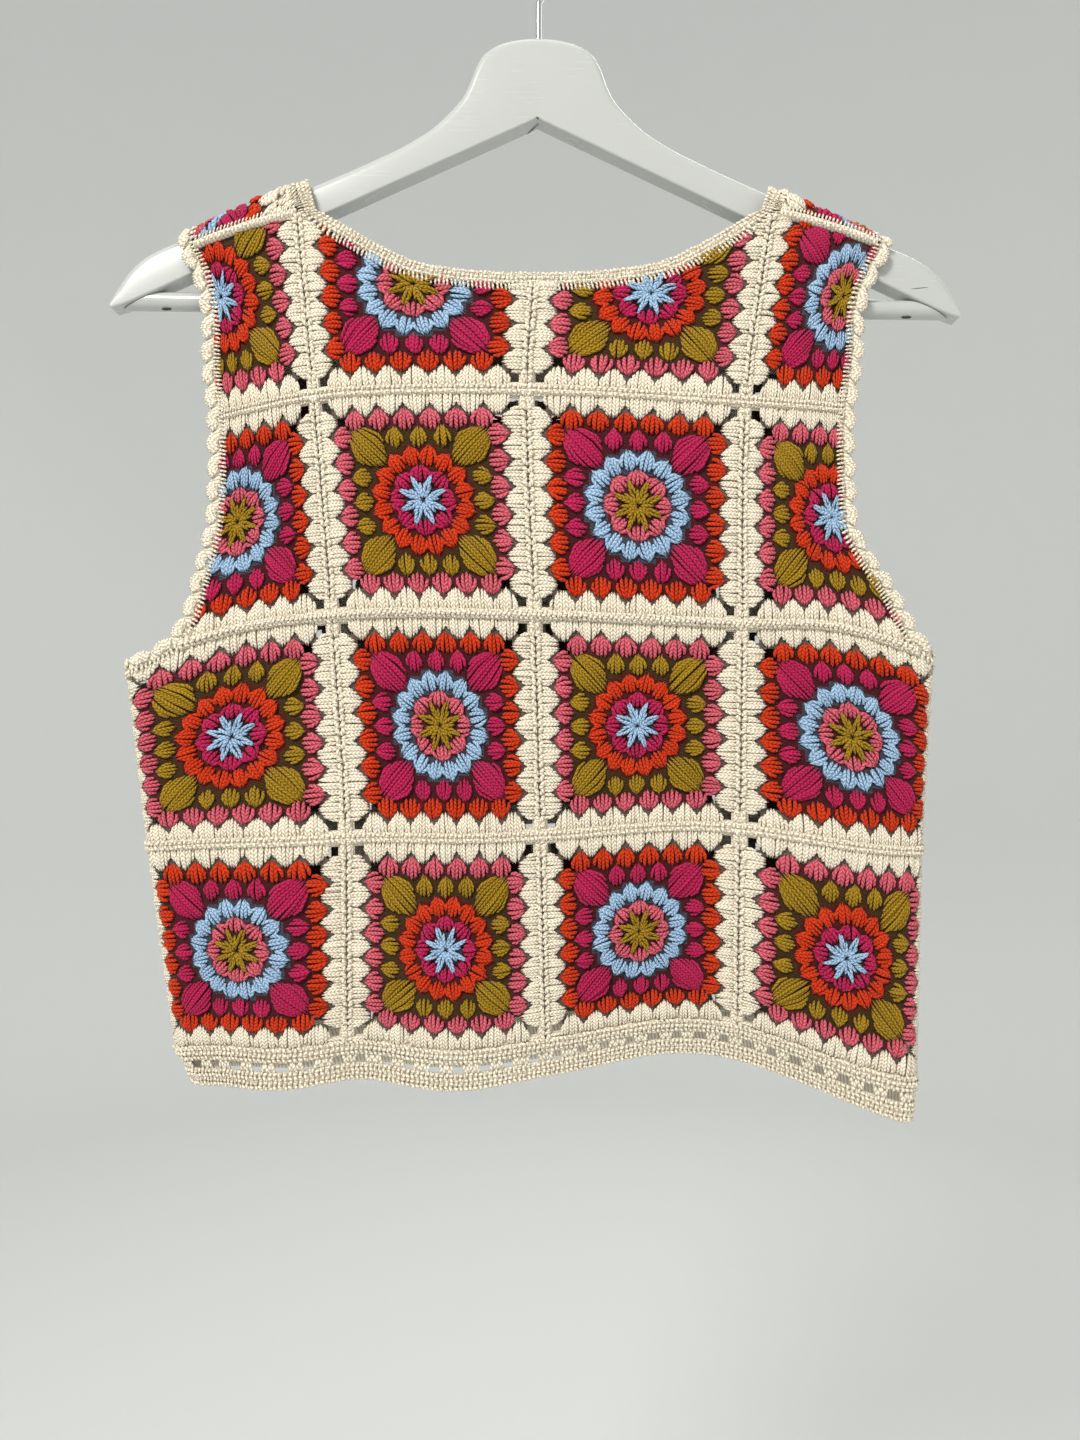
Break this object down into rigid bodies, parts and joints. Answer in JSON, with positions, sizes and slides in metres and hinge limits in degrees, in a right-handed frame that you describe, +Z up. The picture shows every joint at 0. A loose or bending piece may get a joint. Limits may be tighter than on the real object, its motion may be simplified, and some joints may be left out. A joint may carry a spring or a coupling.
{
  "type": "crochet vest on a coat hanger",
  "caption": "Sleeveless crochet vest of motif squares with a scalloped edging and an eyelet hem, hung on a wooden coat hanger by its wire hook.",
  "frame": {"origin": "inside top of the hook, where a rail carries the hanger", "axes": "+Z up, +Y from the back of the vest to its front, +X towards the right of someone who looks at the back"},
  "size_m": [0.446, 0.0448, 0.6309],
  "materials": {
    "cream yarn": "matt yarn",
    "orange yarn": "matt yarn",
    "pink yarn": "matt yarn",
    "white paint": "gloss",
    "bright wire": "polished"
  },
  "bodies": {
    "root": {"back_square_r1_c1": "pink yarn", "back_square_r1_c2": "orange yarn", "back_square_r1_c3": "pink yarn", "back_square_r1_c4": "orange yarn", "back_square_r2_c1": "orange yarn", "back_square_r2_c2": "pink yarn", "back_square_r2_c3": "orange yarn", "back_square_r2_c4": "pink yarn", "back_square_r3_c1": "pink yarn", "back_square_r3_c2": "orange yarn", "back_square_r3_c3": "pink yarn", "back_square_r3_c4": "orange yarn", "back_square_r4_c1": "orange yarn", "back_square_r4_c2": "pink yarn", "back_square_r4_c3": "orange yarn", "back_square_r4_c4": "pink yarn", "back_join_1": "cream yarn", "back_join_2": "cream yarn", "back_join_3": "cream yarn", "hem_back": "cream yarn", "front_square_r1_c1": "orange yarn", "front_square_r1_c2": "pink yarn", "front_square_r1_c3": "pink yarn", "front_square_r1_c4": "orange yarn", "front_square_r2_c1": "pink yarn", "front_square_r2_c2": "orange yarn", "front_square_r2_c3": "orange yarn", "front_square_r2_c4": "pink yarn", "front_square_r3_c1": "orange yarn", "front_square_r3_c2": "pink yarn", "front_square_r3_c3": "pink yarn", "front_square_r3_c4": "orange yarn", "front_square_r4_c1": "pink yarn", "front_square_r4_c2": "orange yarn", "front_square_r4_c3": "orange yarn", "front_square_r4_c4": "pink yarn", "front_join_1": "cream yarn", "front_join_2": "cream yarn", "front_join_3": "cream yarn", "hem_front": "cream yarn", "neck_edging": "cream yarn", "armhole_edging_left": "cream yarn", "armhole_edging_right": "cream yarn", "shoulder_seam_left": "cream yarn", "shoulder_seam_right": "cream yarn", "side_seam_left": "cream yarn", "side_seam_right": "cream yarn", "hanger_wood": "white paint", "trouser_bar": "white paint", "hook": "bright wire"}
  },
  "joints": []
}
